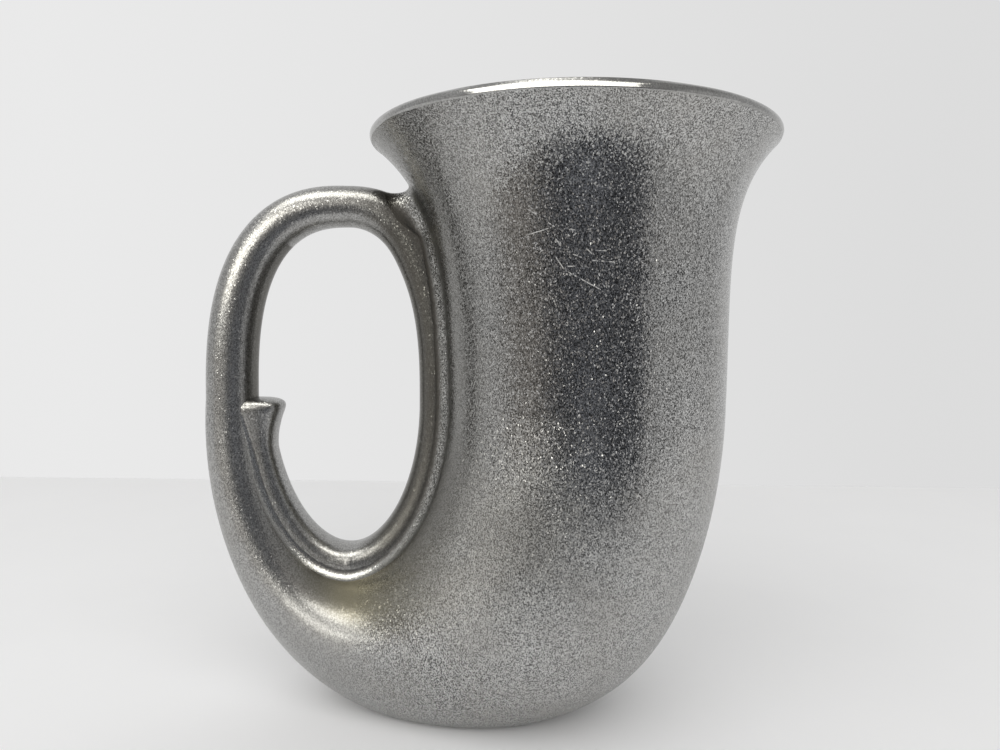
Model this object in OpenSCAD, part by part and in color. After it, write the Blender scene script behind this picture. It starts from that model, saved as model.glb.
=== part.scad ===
// Hunting-horn tankard: a flared cup whose tail curls round into the handle.
// The horn winds clockwise, seen from the front, and every section is placed by its winding angle:
// 0 at the waist of the cup, 90 under the finger loop, 180 on the outer limb, 270 on top of the arch,
// 360 back beside the cup, 450 inside the bottom of the loop and 540 at the mouthpiece.
// The front faces -Y, the mouth +Z, and the origin is the middle of the flat foot.

/* [Bell] */
// Outer diameter of the mouth
mouth_d = 100; // [90:1:110]
// Height of the mouth above the table
height = 145; // [135:1:155]
// Outer diameter of the waist, where the bell sits on the bow
waist_d = 70.5; // [64:0.5:76]
// Height over which most of the flare opens
flare_length = 13; // [9:0.5:20]
// How far the mouth leans over towards the handle
mouth_lean = 4.4; // [0:0.2:8]
// Thickness of the cup's wall
wall = 3.4; // [2.4:0.1:4.4]
// Thickness of the rounded lip
lip_d = 2.6; // [2:0.1:3.4]

/* [Horn] */
// Diameter of the horn under the finger loop
bottom_d = 35; // [30:0.5:40]
// Diameter of the outer limb of the handle
limb_d = 13; // [11:0.5:15]
// Diameter of the handle on top of the arch
arch_d = 10.4; // [9:0.2:12]
// How much the handle swells where it lands on the cup
landing = 3.5; // [2:0.5:5]
// Depth of the flat that is ground under the belly
foot_depth = 5.5; // [3.5:0.5:7]
// Thickness of the metal between the cup and the foot
floor_t = 3.5; // [2.5:0.5:6]
// Winding angle at which the inside of the cup ends
cavity_end = 104; // [90:1:108]

/* [Finger loop] */
// Width of the curve that the horn and the handle follow
loop_w = 49; // [44:1:54]
// Height of that curve
loop_h = 87; // [80:1:94]
// Exponent of the arch's outline: 2 is an ellipse, and more is squarer
arch_square = 2.65; // [2:0.05:3]

/* [Lead pipe] */
// How far the lead pipe stands out from the cup at the waist
pipe_rise = 7.1; // [6:0.1:8]
// How far it stands out where the mouthpiece starts
shank_rise = 3.5; // [3:0.1:4.5]
// Width of the lead pipe, front to back, under the loop
pipe_w = 13; // [11:0.5:15]
// Width of its shank, front to back
shank_w = 9; // [8:0.5:10]
// How far the mouthpiece's lip stands out from the limb
mouthpiece_rise = 8.2; // [7:0.1:9.5]
// Width of the mouthpiece's lip, front to back
mouthpiece_w = 12; // [10:0.5:14]
// Leg of the solder fillet along the lead pipe, beside the cup
fillet_leg = 1.9; // [1.2:0.1:2.4]

/* [Joints] */
// Depth of the lap where the bell sits in the bow
lap_h = 5; // [3:0.5:8]
// Diameter of the tenon at the foot of the handle
tail_tenon_d = 10; // [7:0.5:13]
// Length of that tenon
tail_tenon_l = 8; // [5:0.5:10]
// Diameter of the tenons in the handle and the arch
crook_tenon_d = 5; // [4:0.5:6]
// Length of those tenons
crook_tenon_l = 4.5; // [3:0.5:6]
// Diameter of the mouthpiece's tenon
shank_tenon_d = 1.8; // [1.4:0.1:2.2]
// Length of that tenon
shank_tenon_l = 3.5; // [2:0.5:5]
// Clearance round tenons and laps
joint_gap = 0.1; // [0.05:0.05:0.2]
// Solder gap under the lead pipe
solder_gap = 0.12; // [0.1:0.02:0.2]

/* [Hidden] */

metal = [0.60, 0.60, 0.58];
solder = [0.70, 0.70, 0.68];

// Number of sides of the cup's and the tubes' sections, and of round tenons and laps
cup_sides = 48;
tube_sides = 24;
tenon_sides = 32;
lap_sides = 96;
// How far a cutting tool passes the face that it cuts
past = 1;

// Winding angles of the quarters of the horn
under_loop = 90;
on_limb = 180;
on_arch = 270;
beside_cup = 360;
inside_loop = 450;
horn_end = 540;
// Winding angles where the pieces meet
bow_end = 130;
tail_end = 166;
crook_end = 330;
pipe_end = 529;
// Winding angles from which the handle may touch the cup, and from which it has fillets
landing_start = 275;
fillet_start = 316;

// Exponent of a round or elliptical outline; a larger one is squarer
ellipse = 2;
// Sharpness of the turn from the waist's even width to the taper
taper_turn = 18;
// Bend of the taper: 1 narrows by the same share at every degree
taper_bend = 1.07;
// Exponent of the lead pipe's section
pipe_square = 2.6;
// Angle of the flare's wall from upright where the lip starts
lip_angle = 48;
// Steps across the fillet's face, and how far its middle lies towards its corner
fillet_steps = 4;
fillet_hollow = 0.4;

mouth_r = mouth_d / 2;
limb_r = limb_d / 2;
arch_r = arch_d / 2;
lip_r = lip_d / 2;

function signed_power(x, p) = sign(x) * pow(abs(x), p);
function mix(a, b, t) = a + (b - a) * t;
function clamp01(x) = min(1, max(0, x));
function soft_min(a, b) = pow(pow(a, -taper_turn) + pow(b, -taper_turn), -1 / taper_turn);

// The seat curve, which the horn's inner side follows: an ellipse below, squarer round the arch.
// Its point at w is the one whose normal has that angle.
function squareness(w) = (w > on_limb && w < beside_cup) ? arch_square : ellipse;
function seat_from_centre(w) =
    let (q = squareness(w), a = loop_w / 2, b = loop_h / 2)
    let (x = signed_power(a * cos(w), 1 / (q - 1)), z = signed_power(-b * sin(w), 1 / (q - 1)))
    [a * x, 0, b * z] / pow(pow(abs(x), q) + pow(abs(z), q), 1 / q);

// Direction across the horn, out from the seat curve, at a winding angle
function across(w) = [cos(w), 0, -sin(w)];

// Radius of the round horn: the waist's width, then the taper to the limb, then the arch
function tapered_r(w) =
    soft_min(waist_d / 2, limb_r * pow(bottom_d / limb_d, pow((on_limb - w) / under_loop, taper_bend)));
function horn_r(w) =
    w < on_limb ? tapered_r(w)
    : mix(tapered_r(on_limb), arch_r, clamp01((w - on_limb) / (on_arch - on_limb)));

// The loop's centre is set so that the belly would reach foot_depth below the table,
// and so that the middle of the flat ground there is the origin
belly = [for (w = [0:0.5:bow_end]) seat_from_centre(w) + across(w) * 2 * horn_r(w)];
foot_level = min([for (p = belly) p[2]]) + foot_depth;
foot_run = [for (p = belly) if (p[2] < foot_level) p[0]];
loop_centre = [-(min(foot_run) + max(foot_run)) / 2, 0, -foot_level];
function seat(w) = loop_centre + seat_from_centre(w);

waist_r = horn_r(0);
waist_x = loop_centre[0] + loop_w / 2 + waist_r;
waist_z = loop_centre[2];
lap_r = waist_r - wall / 2;

// The bell: level circles on a centre line that leans over towards the handle
lip_z = height - lip_r;
flare_top = lip_z - lip_r * sin(lip_angle);
flare_r = mouth_r - lip_r + lip_r * cos(lip_angle);
bore_top = lip_z + lip_r * cos(lip_angle);
bore_r = mouth_r - lip_r - lip_r * sin(lip_angle);
function flared(z, r0, r1, top) =
    mix(r0, r1, (exp((z - waist_z) / flare_length) - 1) / (exp((top - waist_z) / flare_length) - 1));
function bell_r(z) = flared(z, waist_r, flare_r, flare_top);
function bell_bore_r(z) = flared(z, waist_r - wall, bore_r, bore_top);
function bell_x(z) = waist_x - mouth_lean * pow(clamp01((z - waist_z) / (lip_z - waist_z)), 2);

// How far the handle's tube stands inside and outside the seat curve
function rise(w) =
    w < on_arch ? 0
    : w < beside_cup ? pipe_rise * (1 - pow((beside_cup - w) / (beside_cup - on_arch), 2))
    : mix(shank_rise, pipe_rise, clamp01((horn_end - w) / (horn_end - beside_cup)));
function outer_side(w) =
    let (turn = w - on_arch)
    mix(arch_d, pipe_rise, turn / (beside_cup - on_arch)) + landing * pow(sin(2 * turn), 2);
// Half its thickness, half its width from front to back, and the squareness of its section
function tube_r(w) =
    w < on_arch ? horn_r(w)
    : w < beside_cup ? (outer_side(w) + rise(w)) / 2
    : rise(w);
function tube_half_w(w) =
    w < on_arch ? horn_r(w)
    : w < inside_loop ? mix(arch_r, pipe_w / 2, (w - on_arch) / (inside_loop - on_arch))
    : mix(pipe_w / 2, shank_w / 2, clamp01((w - inside_loop) / (pipe_end - inside_loop)));
function tube_square(w) = mix(ellipse, pipe_square, clamp01((w - on_arch) / (beside_cup - on_arch)));

// How far out from the seat curve the cup's or the horn's face lies at y, less the solder gap.
// The face of the bell is found by halving the stretch that crosses it.
function horn_face(w, y) =
    let (r = horn_r(w - beside_cup))
    r - sqrt(max(0, r * r - y * y)) - solder_gap;
function in_bell(p) = norm([p[0] - bell_x(p[2]), p[1]]) < bell_r(p[2]) + solder_gap;
function bell_face(w, y, low, high, halvings = 16) =
    halvings == 0 ? low
    : let (middle = (low + high) / 2)
      in_bell(seat(w) + across(w) * middle + [0, y, 0]) ? bell_face(w, y, low, middle, halvings - 1)
      : bell_face(w, y, middle, high, halvings - 1);
function cup_face(w, y) = w < beside_cup ? bell_face(w, y, -pipe_rise, arch_d + landing) : horn_face(w, y);

// Sections, as points [out, y] measured from the seat curve
function round_section(r, centre, sides) =
    [for (i = [0:sides - 1]) let (a = 360 * i / sides) [centre - r * cos(a), r * sin(a)]];
function tube_section(w, inside, half_w) =
    let (r = tube_r(w) + inside - rise(w), e = 2 / tube_square(w))
    [for (i = [0:tube_sides - 1])
        let (a = 360 * i / tube_sides)
        let (y = half_w * signed_power(sin(a), e), out = r - inside - r * signed_power(cos(a), e))
        [w > landing_start ? min(out, cup_face(w, y)) : out, y]];
// Where the tube's side lies at a distance out from the seat curve, plus the solder gap
function tube_side(w, out) =
    let (off = abs(out + rise(w) - tube_r(w)) / tube_r(w), q = tube_square(w))
    tube_half_w(w) * pow(max(0, 1 - pow(off, q)), 1 / q) + solder_gap;
// The fillet at the rear: its corner, then its hollow face from its toe on the tube to its toe on the cup.
// Its legs get shorter as the pipe gets thinner.
function leg(w) =
    fillet_leg * mix(1, shank_rise / pipe_rise, clamp01((w - beside_cup) / (horn_end - beside_cup)));
function fillet_section(w) =
    let (y0 = tube_side(w, cup_face(w, tube_half_w(w))), y1 = y0 + leg(w))
    let (corner = [cup_face(w, y0), y0], on_cup = [cup_face(w, y1), y1], out2 = corner[0] - leg(w))
    let (on_tube = [out2, tube_side(w, out2)])
    [corner,
     for (i = [0:fillet_steps])
        let (t = i / fillet_steps) mix(mix(on_tube, on_cup, t), corner, fillet_hollow * 4 * t * (1 - t))];
function placed(w, section) = [for (p = section) seat(w) + across(w) * p[0] + [0, p[1], 0]];

// Rings of points along the horn from one winding angle to another
function horn_rings(from, to, steps, sides) =
    [for (i = [0:steps])
        let (w = mix(from, to, i / steps)) placed(w, round_section(horn_r(w), horn_r(w), sides))];
function tube_rings(from, to, steps, first = 0) =
    [for (i = [first:steps])
        let (w = mix(from, to, i / steps)) placed(w, tube_section(w, rise(w), tube_half_w(w)))];
function level_ring(x, z, r) =
    [for (i = [0:cup_sides - 1]) let (a = 360 * i / cup_sides) [x - r * cos(a), -r * sin(a), z]];

// Triangles between one ring of n points, numbered from a, and the next, numbered from b
function band(a, b, n) =
    [for (i = [0:n - 1]) let (j = (i + 1) % n) each [[a + i, b + j, a + j], [a + i, b + i, b + j]]];

// A closed solid through rings of points, with flat ends
module skin(rings) {
    n = len(rings[0]);
    last = len(rings) - 1;
    sides = [for (k = [0:last - 1]) each band(k * n, (k + 1) * n, n)];
    start = [for (i = [0:n - 1]) i];
    end = [for (i = [0:n - 1]) last * n + n - 1 - i];
    polyhedron(points = [for (r = rings) each r], faces = concat([start], sides, [end]));
}

// A wall that closes on itself: the last ring of points joins back to the first
module ring_skin(rings) {
    n = len(rings[0]);
    count = len(rings);
    sides = [for (k = [0:count - 1]) each band(k * n, (k + 1) % count * n, n)];
    polyhedron(points = [for (r = rings) each r], faces = sides);
}

// A tenon points back along the horn, towards smaller winding angles, and is rooted in its own piece
module tenon(w, out, d, length) {
    translate(seat(w) + across(w) * out) rotate([0, w, 0]) translate([0, 0, -past])
        cylinder(d = d, h = length + past, $fn = tenon_sides);
}

// Its socket is wider and deeper by the joint gap
module socket(w, out, d, length) {
    tenon(w, out, d + 2 * joint_gap, length + joint_gap);
}

// All that lies below a level
module below(z) {
    room = 3 * height;
    translate([-room / 2, -room / 2, z - room]) cube(room);
}

// The flared upper cup, with a thin ring under it that sits in the bow
module bell() {
    steps = 16;
    lip_steps = 6;
    crowding = 1.35;
    // Rings crowd together towards the mouth, where the wall turns fastest
    function level(i, top) = mix(waist_z, top, 1 - pow(1 - i / steps, crowding));
    outside = [for (i = [0:steps])
        let (z = level(i, flare_top)) level_ring(bell_x(z), z, bell_r(z))];
    lip = [for (i = [1:lip_steps])
        let (a = mix(-lip_angle, 180 - lip_angle, i / lip_steps))
        level_ring(bell_x(lip_z), lip_z + lip_r * sin(a), mouth_r - lip_r + lip_r * cos(a))];
    inside = [for (i = [steps - 1:-1:0])
        let (z = level(i, bore_top)) level_ring(bell_x(z), z, bell_bore_r(z))];
    color(metal) {
        ring_skin(concat(outside, lip, inside));
        translate([waist_x, 0, waist_z - lap_h]) spigot();
    }
}

module spigot() {
    // The ring stands back from the cup's bore by this much
    shoulder = wall / 8;
    difference() {
        cylinder(r = lap_r, h = lap_h, $fn = lap_sides);
        translate([0, 0, -past])
            cylinder(r = waist_r - wall + shoulder, h = lap_h + 2 * past, $fn = lap_sides);
    }
}

// The hollow lower bend, ground flat underneath
module bow() {
    color(metal) difference() {
        skin(horn_rings(0, bow_end, 38, cup_sides));
        bow_cavity();
        below(0);
        translate([waist_x, 0, waist_z - lap_h - joint_gap])
            cylinder(r = lap_r + joint_gap, h = lap_h + joint_gap + past, $fn = lap_sides);
        socket(bow_end, horn_r(bow_end), tail_tenon_d, tail_tenon_l);
    }
}

// Inside of the cup in the bow, with a rounded tip and a level floor
module bow_cavity() {
    steps = 26;
    // Winding angle over which the tip rounds off, and the share of its width that is left at the end
    tip = 14;
    blunt = 0.14;
    function rounding(w) = sqrt(1 - (1 - blunt * blunt) * pow(clamp01((w - cavity_end + tip) / tip), 2));
    rings = [for (i = [0:steps])
        let (w = cavity_end * i / steps)
        placed(w, round_section((horn_r(w) - wall) * rounding(w), horn_r(w), cup_sides))];
    above = [for (p = rings[0]) p + [0, 0, past]];
    difference() {
        skin(concat([above], rings));
        below(floor_t);
    }
}

// The solid taper between the belly and the handle
module tail() {
    color(metal) difference() {
        union() {
            skin(horn_rings(bow_end, tail_end, 8, tube_sides));
            tenon(bow_end, horn_r(bow_end), tail_tenon_d, tail_tenon_l);
        }
        socket(tail_end, horn_r(tail_end), crook_tenon_d, crook_tenon_l);
    }
}

// The outer limb of the handle and the arch, coped where it lands on the bell
module crook() {
    color(metal) difference() {
        union() {
            skin(concat(tube_rings(tail_end, on_limb, 5), tube_rings(on_limb, crook_end, 38, 1)));
            tenon(tail_end, horn_r(tail_end), crook_tenon_d, crook_tenon_l);
        }
        socket(crook_end, pipe_centre, crook_tenon_d, crook_tenon_l);
    }
}

// The half-round pipe that runs on round the inside of the loop, coped on the bell, the bow and the tail
pipe_centre = (cup_face(crook_end, 0) - rise(crook_end)) / 2;
shank_centre = -rise(pipe_end) / 2;
module lead_pipe() {
    color(metal) difference() {
        union() {
            skin(concat(tube_rings(crook_end, beside_cup, 8), tube_rings(beside_cup, pipe_end, 44, 1)));
            tenon(crook_end, pipe_centre, crook_tenon_d, crook_tenon_l);
        }
        socket(pipe_end, shank_centre, shank_tenon_d, shank_tenon_l);
    }
}

// The mouthpiece flares from the shank to a rounded lip
module mouthpiece() {
    steps = 14;
    // How late it flares, the share of its length that is rounded, and how much it draws in there
    lateness = 1.6;
    lip_share = 0.3;
    draw_in = 0.75;
    function flare(t) = pow(t, lateness);
    function rounding(t) = sqrt(1 - draw_in * pow(max(0, 1 - (1 - t) / lip_share), 2));
    function inside(t) = mix(rise(pipe_end), mouthpiece_rise, flare(t)) * rounding(t);
    function half_w(t) = mix(shank_w, mouthpiece_w, flare(t)) / 2 * rounding(t);
    rings = [for (i = [0:steps])
        let (t = i / steps, w = mix(pipe_end, horn_end, t)) placed(w, tube_section(w, inside(t), half_w(t)))];
    color(metal) {
        skin(rings);
        tenon(pipe_end, shank_centre, shank_tenon_d, shank_tenon_l);
    }
}

// The solder run in the groove beside the lead pipe, and its mirror image in front
module rear_fillet() {
    steps = 56;
    color(solder) skin([for (i = [0:steps])
        let (w = mix(fillet_start, pipe_end, i / steps)) placed(w, fillet_section(w))]);
}

module front_fillet() {
    color(solder) mirror([0, 1, 0]) rear_fillet();
}

bell();
bow();
tail();
crook();
lead_pipe();
mouthpiece();
front_fillet();
rear_fillet();
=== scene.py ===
"""Looks of the hunting-horn tankard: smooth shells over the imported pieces, in satin cast metal."""
import math

import bmesh
import bpy
import numpy as np
from mathutils import Matrix, Vector


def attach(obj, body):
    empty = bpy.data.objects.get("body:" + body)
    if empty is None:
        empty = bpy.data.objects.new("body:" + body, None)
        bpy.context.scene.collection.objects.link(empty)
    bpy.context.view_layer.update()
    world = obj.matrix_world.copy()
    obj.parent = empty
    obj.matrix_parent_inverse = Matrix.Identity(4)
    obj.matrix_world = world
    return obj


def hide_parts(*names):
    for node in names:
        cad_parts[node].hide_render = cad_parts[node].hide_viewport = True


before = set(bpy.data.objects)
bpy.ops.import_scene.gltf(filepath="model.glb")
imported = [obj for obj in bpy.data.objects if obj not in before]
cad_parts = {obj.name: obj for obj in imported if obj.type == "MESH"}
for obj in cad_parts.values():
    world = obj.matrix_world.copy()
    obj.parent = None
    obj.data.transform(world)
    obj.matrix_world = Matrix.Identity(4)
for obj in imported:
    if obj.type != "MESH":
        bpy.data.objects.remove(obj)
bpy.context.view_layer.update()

MM = 0.001

# Sizes in millimetres, the same as in the part's source
MOUTH_D = 100
HEIGHT = 145
WAIST_D = 70.5
FLARE_LENGTH = 13
MOUTH_LEAN = 4.4
WALL = 3.4
LIP_D = 2.6
LIP_ANGLE = 48
BOTTOM_D = 35
LIMB_D = 13
ARCH_D = 10.4
LANDING = -1.0
FOOT_DEPTH = 5.5
FLOOR_T = 3.5
LOOP_W = 49
LOOP_H = 87
PIPE_RISE = 7.1
SHANK_RISE = 3.5
PIPE_W = 13
SHANK_W = 9
MOUTHPIECE_RISE = 8.2
MOUTHPIECE_W = 12
# Exponents of the outlines and of the taper
ELLIPSE = 2
ARCH_SQUARE = 2.65
PIPE_SQUARE = 2.6
TAPER_TURN = 18
TAPER_BEND = 1.07
# The mouthpiece: how late it flares, the share of its length that is rounded,
# how far it draws in there and how squarely
MOUTHPIECE_LATE = 1.6
MOUTHPIECE_LIP = 0.3
MOUTHPIECE_DRAW = 0.9995
MOUTHPIECE_EDGE = 3
# Winding angles, in degrees: 0 at the waist, clockwise from the front to 540 at the mouthpiece
UNDER_LOOP = 90
BOW_END = 130
TAIL_END = 166
ON_LIMB = 180
ON_ARCH = 270
CROOK_END = 330
BESIDE_CUP = 360
INSIDE_LOOP = 450
PIPE_END = 529
HORN_END = 540
LANDING_START = 275
# The inside of the bow: where it ends, the angle over which its tip is rounded, and how blunt the tip is
CAVITY_END = 104
CAVITY_TIP = 14
CAVITY_BLUNT = 0.985
# Step of the search for the foot, halvings of the search for the cup's face, and a tiny length
FOOT_SEARCH_STEP = 0.5
FACE_HALVINGS = 26
TINY = 1e-12


def mix(a, b, t):
    """A at 0 and b at 1, in proportion between them."""
    return a + (b - a) * t


def progress(x, start, end):
    """How far x has come from the start, 0, to the end, 1."""
    return np.clip((x - start) / (end - start), 0, 1)


def eased(x, start, end):
    """The same with soft ends."""
    t = progress(x, start, end)
    return t * t * (3 - 2 * t)


def signed_power(x, p):
    return np.sign(x) * np.abs(x) ** p


def dot(a, b):
    return np.sum(a * b, axis=-1)


def unit(vectors):
    return vectors / (np.linalg.norm(vectors, axis=-1, keepdims=True) + TINY)


def across(w):
    """Direction out from the seat curve at a winding angle."""
    angle = np.radians(w)
    return np.stack([np.cos(angle), 0 * angle, -np.sin(angle)], axis=-1)


def seat_from_centre(w):
    """Curve that the horn's inner side follows: an ellipse below and a squarer arch above."""
    q = np.where((w > ON_LIMB) & (w < BESIDE_CUP), ARCH_SQUARE, ELLIPSE)
    a, b = LOOP_W / 2, LOOP_H / 2
    x = signed_power(a * np.cos(np.radians(w)), 1 / (q - 1))
    z = signed_power(-b * np.sin(np.radians(w)), 1 / (q - 1))
    size = (np.abs(x) ** q + np.abs(z) ** q) ** (1 / q)
    return np.stack([a * x / size, 0 * x, b * z / size], axis=-1)


def tapered_r(w):
    """Radius that stays even below the waist and then tapers to the limb's."""
    even = WAIST_D / 2
    share = np.maximum(0, (ON_LIMB - w) / UNDER_LOOP) ** TAPER_BEND
    taper = LIMB_D / 2 * (BOTTOM_D / LIMB_D) ** share
    return (even ** -TAPER_TURN + taper ** -TAPER_TURN) ** (-1 / TAPER_TURN)


def horn_r(w):
    """Radius of the round horn, from the waist to the top of the arch."""
    w = np.asarray(w, float)
    return mix(tapered_r(np.minimum(w, ON_LIMB)), ARCH_D / 2, progress(w, ON_LIMB, ON_ARCH))


def loop_centre():
    """Centre of the finger loop, such that the middle of the ground foot is the origin."""
    w = np.arange(0, BOW_END + FOOT_SEARCH_STEP / 2, FOOT_SEARCH_STEP)
    belly = seat_from_centre(w) + across(w) * 2 * horn_r(w)[:, None]
    foot_level = belly[:, 2].min() + FOOT_DEPTH
    run = belly[belly[:, 2] < foot_level, 0]
    return np.array([-(run.min() + run.max()) / 2, 0, -foot_level])


CENTRE = loop_centre()
WAIST_R = float(horn_r(0))
WAIST_X = CENTRE[0] + LOOP_W / 2 + WAIST_R
WAIST_Z = CENTRE[2]
LIP_R = LIP_D / 2
LIP_Z = HEIGHT - LIP_R
LIP_SIN = math.sin(math.radians(LIP_ANGLE))
LIP_COS = math.cos(math.radians(LIP_ANGLE))
LIP_CENTRE_R = MOUTH_D / 2 - LIP_R


def placed(w, out, y):
    """Point at a winding angle, a distance out from the seat curve and a distance back."""
    point = CENTRE + seat_from_centre(w) + across(w) * out[..., None]
    point[..., 1] += y
    return point


def flared(z, waist_r, top_r, top):
    """Radius at a height of a wall that opens ever faster from the waist to the top."""
    opening = np.expm1((z - WAIST_Z) / FLARE_LENGTH) / math.expm1((top - WAIST_Z) / FLARE_LENGTH)
    return mix(waist_r, top_r, opening)


def bell_r(z):
    return flared(z, WAIST_R, LIP_CENTRE_R + LIP_R * LIP_COS, LIP_Z - LIP_R * LIP_SIN)


def bell_bore_r(z):
    return flared(z, WAIST_R - WALL, LIP_CENTRE_R - LIP_R * LIP_SIN, LIP_Z + LIP_R * LIP_COS)


def bell_x(z):
    """Middle of the bell at a height; it leans towards the handle."""
    return WAIST_X - MOUTH_LEAN * progress(z, WAIST_Z, LIP_Z) ** 2


def mouthpiece_share(w):
    return progress(w, PIPE_END, HORN_END)


def lip_rounding(t):
    """Draws the mouthpiece in over its end to a flat top with a round edge."""
    drawn_in = MOUTHPIECE_DRAW * progress(t, 1 - MOUTHPIECE_LIP, 1)
    return (1 - drawn_in ** MOUTHPIECE_EDGE) ** (1 / MOUTHPIECE_EDGE)


def pipe_rise(w):
    """How far the tube stands inside the seat curve, without the mouthpiece."""
    before = PIPE_RISE * (1 - progress(w, BESIDE_CUP, ON_ARCH) ** 2)
    after = mix(SHANK_RISE, PIPE_RISE, progress(w, HORN_END, BESIDE_CUP))
    return np.where(w < BESIDE_CUP, before, after)


def rise(w):
    """How far the tube stands inside the seat curve."""
    t = mouthpiece_share(w)
    ends = mix(pipe_rise(np.minimum(w, PIPE_END)), MOUTHPIECE_RISE, t ** MOUTHPIECE_LATE) * lip_rounding(t)
    return np.where(w > PIPE_END, ends, pipe_rise(w))


def outer_side(w):
    """How far the tube stands outside the seat curve from the arch to the cup."""
    turn = w - ON_ARCH
    swell = LANDING * np.sin(np.radians(2 * turn)) ** 2
    return mix(ARCH_D, PIPE_RISE, turn / (BESIDE_CUP - ON_ARCH)) + swell


def tube_r(w):
    """Half the tube's size across the seat curve."""
    landing = (outer_side(w) + rise(w)) / 2
    return np.where(w < ON_ARCH, horn_r(w), np.where(w < BESIDE_CUP, landing, rise(w)))


def tube_half_w(w):
    """Half the tube's width from front to back."""
    widening = mix(ARCH_D / 2, PIPE_W / 2, progress(w, ON_ARCH, INSIDE_LOOP))
    narrowing = mix(PIPE_W / 2, SHANK_W / 2, progress(w, INSIDE_LOOP, PIPE_END))
    t = mouthpiece_share(w)
    ends = mix(SHANK_W / 2, MOUTHPIECE_W / 2, t ** MOUTHPIECE_LATE) * lip_rounding(t)
    pipe = np.where(w < INSIDE_LOOP, widening, narrowing)
    return np.where(w < ON_ARCH, horn_r(w), np.where(w > PIPE_END, ends, pipe))


def tube_square(w):
    """Exponent of the tube's section: round on the handle, squarer on the pipe."""
    return mix(ELLIPSE, PIPE_SQUARE, progress(w, ON_ARCH, BESIDE_CUP))


def in_bell(p):
    return np.hypot(p[..., 0] - bell_x(p[..., 2]), p[..., 1]) < bell_r(p[..., 2])


def cup_face(w, y):
    """How far out from the seat curve the cup's face lies, or the horn's after the first turn."""
    w, y = np.broadcast_arrays(np.asarray(w, float), np.asarray(y, float))
    low = np.full(w.shape, -PIPE_RISE)
    high = np.full(w.shape, ARCH_D)
    for _ in range(FACE_HALVINGS):
        middle = (low + high) / 2
        inside = in_bell(placed(w, middle, y))
        high = np.where(inside, middle, high)
        low = np.where(inside, low, middle)
    r = horn_r(w - BESIDE_CUP)
    return np.where(w < BESIDE_CUP, low, r - np.sqrt(np.maximum(0, r * r - y * y)))


def tube_section(w, angle):
    """The tube's own section before it is coped: distances out and back."""
    power = 2 / tube_square(w)
    radius = tube_r(w)
    out = radius - rise(w) - radius * signed_power(np.cos(angle), power)
    return out, tube_half_w(w) * signed_power(np.sin(angle), power)


def tube_point(w, angle):
    out, y = tube_section(w, angle)
    return placed(w, out, y)


def horn_point(w, angle):
    r = horn_r(w)
    return placed(w, r - r * np.cos(angle), r * np.sin(angle))


def bell_point(z, angle):
    r = bell_r(z)
    return np.stack([bell_x(z) - r * np.cos(angle), r * np.sin(angle), z], axis=-1)


# Fineness of the shells: points round the cup and round the tubes, and the length of a step
CUP_POINTS = 224
TUBE_POINTS = 128
CUP_STEP = 0.8
TUBE_STEP = 0.55
# Points by which curves are measured, and rings round the lip, inside the bow and on the mouthpiece
FINE_POINTS = 6000
FINE_LEVELS = 3000
LIP_STEPS = 60
CAVITY_RINGS = 130
MOUTHPIECE_RINGS = 70
# How much the last two crowd towards their ends
CAVITY_CROWD = 1.5
MOUTHPIECE_CROWD = 2.6
# Winding angle by which a shell is looked at past its ends, so that neighbours shade alike
PAST_END = 0.4
# How far a coped tube reaches into the cup's wall
SINK = 0.35
# How far the shells lie under the faces of the solids
INSET = 0.04
# Height over which the edges of the foot, and of the floor inside, are rounded
FOOT_EDGE = 1.1
FLOOR_EDGE = 3


def winding_steps(start, end, step, out_share=1):
    """Winding angles whose sections lie about a step apart, measured out_share radii out."""
    fine = np.linspace(start, end, FINE_POINTS)
    line = seat_from_centre(fine) + across(fine) * (out_share * tube_r(fine))[:, None]
    run = np.concatenate([[0], np.cumsum(np.linalg.norm(np.diff(line, axis=0), axis=1))])
    count = max(2, math.ceil(run[-1] / step))
    return np.interp(np.linspace(0, run[-1], count + 1), run, fine)


def past_ends(steps, margin):
    """Adds one more step before the first and after the last."""
    return np.concatenate([[steps[0] - margin], steps, [steps[-1] + margin]])


def round_angles(count):
    return np.arange(count) * (2 * math.pi / count)


def soft_floor(points, level, edge):
    """Lifts what lies below a level onto it, and rounds the edge over a height of edge each way."""
    height = points[..., 2] - level
    rounding = np.maximum(edge - np.abs(height), 0) ** 2 / (4 * edge)
    points[..., 2] = level + np.maximum(height, 0) + rounding
    return points


def grid_normals(points, centres):
    """Normals of a grid of closed rings, away from their centres."""
    along = np.gradient(points, axis=0)
    wrapped = np.concatenate([points[:, -1:], points, points[:, :1]], axis=1)
    around = (wrapped[:, 2:] - wrapped[:, :-2]) / 2
    normals = unit(np.cross(along, around))
    return normals * np.sign(dot(normals, points - centres).mean())


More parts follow.
